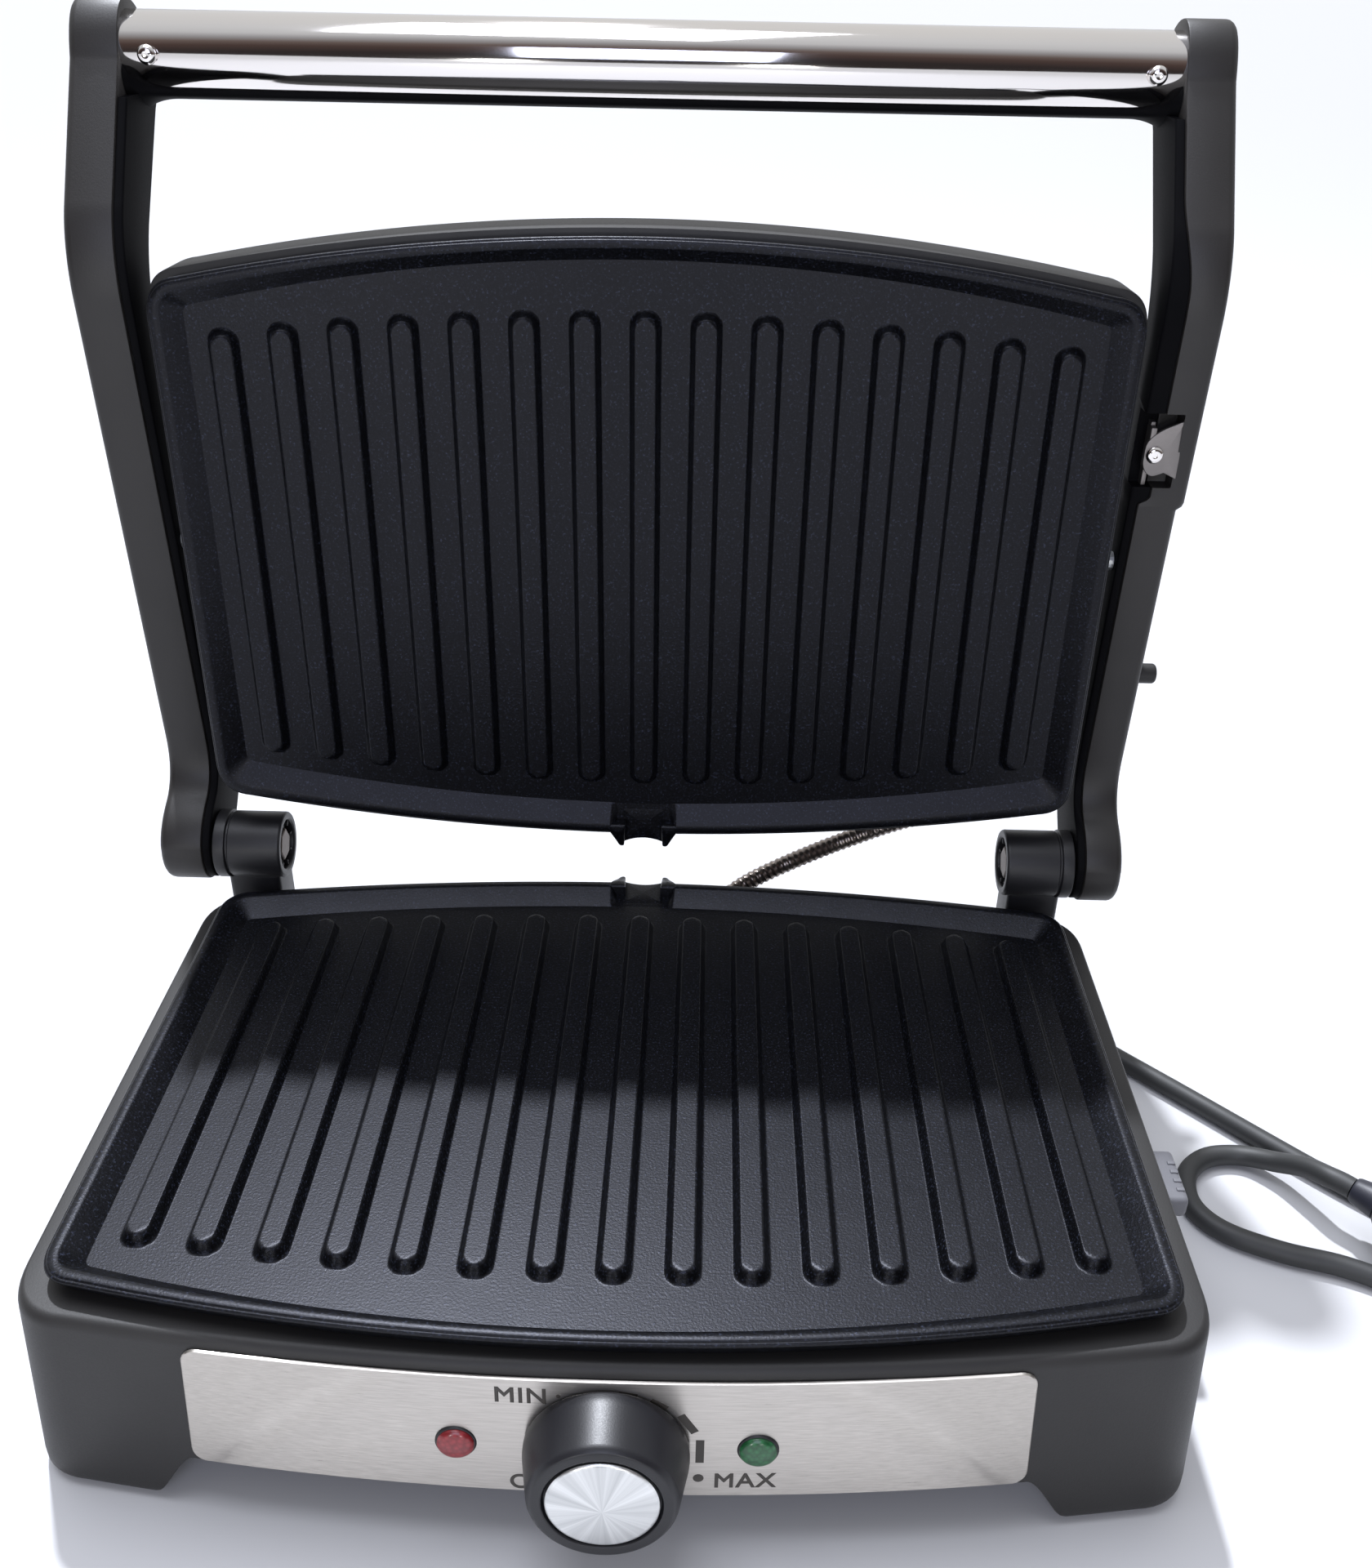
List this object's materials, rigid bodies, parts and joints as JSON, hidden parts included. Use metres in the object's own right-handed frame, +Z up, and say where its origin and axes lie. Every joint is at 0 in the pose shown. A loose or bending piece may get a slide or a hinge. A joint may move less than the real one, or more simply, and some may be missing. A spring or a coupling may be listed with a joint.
{
  "type": "panini press",
  "caption": "Contact grill with ribbed upper and lower plates, a lid on two cranked arms with a chrome bar handle, a thermostat knob, a drip tray and a mains cord, standing open",
  "frame": {"origin": "centre of the footprint of the press without its cord, on the table top", "axes": "+X to the right as seen from the knob side, +Y to the back where the lid is hinged, +Z up"},
  "size_m": [0.5326, 0.2824, 0.3365],
  "materials": {
    "housing_plastic": "moulded charcoal phenolic, fine grain",
    "arm_plastic": "moulded grey-black plastic, fine grain",
    "dark_plastic": "dark moulded plastic",
    "knob_plastic": "satin moulded plastic",
    "non_stick_plate": "cast aluminium with a black speckled non-stick coat",
    "brushed_steel": "brushed",
    "chrome": "polished",
    "sheet_steel": "plain rolled sheet",
    "heater_steel": "heat-darkened steel",
    "spun_cap": "spun and polished",
    "brass": "satin",
    "rubber": "matt",
    "cord_rubber": "smooth matt",
    "red_lens": "clear tinted",
    "green_lens": "clear tinted",
    "lamp_glass": "clear",
    "ceramic": "glazed ceramic"
  },
  "bodies": {
    "base": {"base_housing": "housing_plastic", "base_bottom_cover": "dark_plastic", "control_panel": "brushed_steel", "lower_grill_plate": "non_stick_plate", "lower_heating_element": "heater_steel", "lower_heat_reflector": "sheet_steel", "foot_front_left": "rubber", "foot_front_right": "rubber", "foot_rear_left": "rubber", "foot_rear_right": "rubber", "power_lens": "red_lens", "ready_lens": "green_lens", "power_lamp": "lamp_glass", "ready_lamp": "lamp_glass", "thermostat_body": "sheet_steel", "terminal_block": "ceramic", "bottom_screw_1": "sheet_steel", "bottom_screw_2": "sheet_steel", "hinge_barrel_left": "dark_plastic", "hinge_barrel_right": "dark_plastic", "hinge_bolt_left": "sheet_steel", "hinge_bolt_right": "sheet_steel", "heater_lead_conduit": "heater_steel", "cord_strain_relief": "cord_rubber", "power_cord_near": "cord_rubber", "cord_coil": "cord_rubber", "power_cord_far": "cord_rubber", "plug_body": "cord_rubber", "plug_pin_1": "brass", "plug_pin_2": "brass"},
    "arms": {"arm_shell_left": "arm_plastic", "arm_shell_right": "arm_plastic", "arm_inner_cover_left": "dark_plastic", "arm_inner_cover_right": "dark_plastic", "pivot_bracket_left": "sheet_steel", "pivot_bracket_right": "sheet_steel", "pivot_pin_left": "sheet_steel", "pivot_pin_right": "sheet_steel", "bracket_screw_right": "chrome", "handle_tube": "chrome", "handle_core": "dark_plastic", "handle_underside": "dark_plastic", "handle_screw_left": "chrome", "handle_screw_right": "chrome"},
    "head": {"upper_cover": "housing_plastic", "upper_grill_plate": "non_stick_plate", "upper_heating_element": "heater_steel", "upper_heat_reflector": "sheet_steel", "lid_trim_plate": "brushed_steel"},
    "knob": {"control_knob": "knob_plastic", "knob_cap": "spun_cap", "thermostat_shaft": "brass"},
    "latch": {"storage_latch": "arm_plastic"},
    "button": {"release_button": "housing_plastic"},
    "tray": {"drip_tray": "dark_plastic"}
  },
  "joints": [
    {"name": "lid_hinge", "type": "hinge", "parent": "base", "child": "arms", "pos_m": [-0.00275, 0.08116, 0.0765], "axis": [1, 0, 0], "range_deg": [-88, 90], "deforming": ["heater_lead_conduit"]},
    {"name": "head_tilt", "type": "hinge", "parent": "arms", "child": "head", "pos_m": [-0.00275, 0.09366, 0.18446], "axis": [1, 0, 0], "range_deg": [-4, 4]},
    {"name": "knob_turn", "type": "hinge", "parent": "base", "child": "knob", "pos_m": [-0.00275, -0.12033, 0.035], "axis": [0, 0.9957, -0.0924], "range_deg": [0, 240]},
    {"name": "latch_slide", "type": "slide", "parent": "base", "child": "latch", "axis": [0, 1, 0], "range_m": [0, 0.009]},
    {"name": "release_button_press", "type": "slide", "parent": "arms", "child": "button", "axis": [-1, 0, 0], "range_m": [0, 0.003], "stiffness_N_per_m": 400},
    {"name": "tray_slide", "type": "slide", "parent": "base", "child": "tray", "axis": [0, 1, 0], "range_m": [0, 0.075]}
  ]
}
